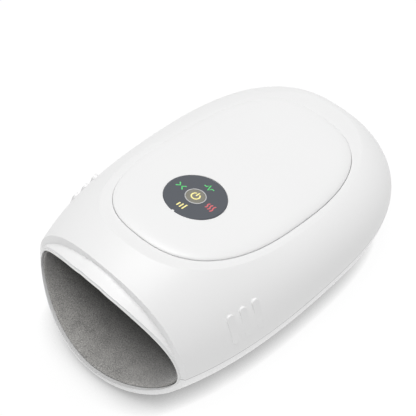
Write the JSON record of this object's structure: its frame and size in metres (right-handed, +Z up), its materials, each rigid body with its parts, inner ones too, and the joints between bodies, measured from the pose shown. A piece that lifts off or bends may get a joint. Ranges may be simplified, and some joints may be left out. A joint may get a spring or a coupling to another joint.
{
  "type": "hand massager",
  "caption": "Pebble-shaped air-compression hand massager with a wide padded mouth, an oval top panel and a round touch disc.",
  "frame": {"origin": "middle of the footprint, on the surface the rubber feet stand on", "axes": "+Z up, -Y out of the mouth that the hand goes into, +X to the right seen from behind the mouth"},
  "size_m": [0.148, 0.2251, 0.0913],
  "materials": {
    "white_shell": "glossy moulded white",
    "white_panel": "glossy moulded white",
    "white_trim": "satin moulded white",
    "grey_fabric": "heathered knit",
    "slate_disc": "satin slate grey",
    "silver_ring": "bright",
    "grey_button": "satin warm grey",
    "black_plastic": "moulded black",
    "steel": "plain",
    "circuit_board": "green solder mask",
    "lamp": "clear lamp body",
    "screw_steel": "zinc plated",
    "inner_plastic": "natural moulding",
    "bag_film": "welded film",
    "heating_film": "amber film",
    "cell_wrap": "shrink wrap",
    "contact_nickel": "nickel",
    "valve_plastic": "white moulding",
    "bronze": "sintered",
    "black_rubber": "soft black",
    "grey_rubber": "soft grey",
    "tube_silicone": "milky silicone"
  },
  "bodies": {
    "housing": {"upper_housing": "white_shell", "lower_housing": "white_shell", "top_panel": "white_panel", "mouth_trim_ring": "white_trim", "fabric_sleeve": "grey_fabric", "control_disc": "slate_disc", "button_ring": "silver_ring", "tact_switch": "steel", "key_board": "circuit_board", "indicator_lamps": "lamp", "key_screws": "screw_steel", "bag_carrier": "inner_plastic", "carrier_screws": "screw_steel", "palm_air_bag": "bag_film", "finger_air_bag": "bag_film", "palm_plate": "inner_plastic", "plate_screws": "screw_steel", "heating_film": "heating_film", "temperature_sensor": "black_plastic", "battery_cells": "cell_wrap", "battery_holder": "black_plastic", "battery_contacts": "contact_nickel", "main_board": "circuit_board", "board_components": "black_plastic", "valve_bodies": "valve_plastic", "palm_valve_spring": "steel", "finger_valve_spring": "steel", "valve_manifold": "valve_plastic", "pump_motor": "steel", "motor_bushes": "bronze", "pump_head": "black_plastic", "pump_diaphragm": "black_rubber", "pump_cover": "black_plastic", "pump_mounts": "black_rubber", "pump_bracket": "inner_plastic", "bracket_screws": "screw_steel", "charging_port": "steel", "charging_board": "circuit_board", "air_tubes": "tube_silicone", "rubber_feet": "grey_rubber", "housing_screws": "screw_steel"},
    "button": {"power_button": "grey_button", "switch_plunger": "black_plastic"},
    "pump_rotor": {"pump_shaft": "steel", "pump_cam": "inner_plastic"},
    "palm_valve": {"palm_valve_plunger": "steel"},
    "finger_valve": {"finger_valve_plunger": "steel"}
  },
  "joints": [
    {"name": "button_press", "type": "slide", "parent": "housing", "child": "button", "axis": [0, -0.1953, -0.9807], "range_m": [0, 0.0006], "stiffness_N_per_m": 1500, "springref_m": -0.0005},
    {"name": "pump_spin", "type": "hinge", "parent": "housing", "child": "pump_rotor", "pos_m": [0, 0.085, 0.0306], "axis": [1, 0, 0], "continuous": true},
    {"name": "palm_valve_lift", "type": "slide", "parent": "housing", "child": "palm_valve", "axis": [0, 0, 1], "range_m": [0, 0.0015], "stiffness_N_per_m": 200, "springref_m": -0.002, "deforming": ["palm_valve_spring"]},
    {"name": "finger_valve_lift", "type": "slide", "parent": "housing", "child": "finger_valve", "axis": [0, 0, 1], "range_m": [0, 0.0015], "stiffness_N_per_m": 200, "springref_m": -0.002, "deforming": ["finger_valve_spring"]}
  ]
}
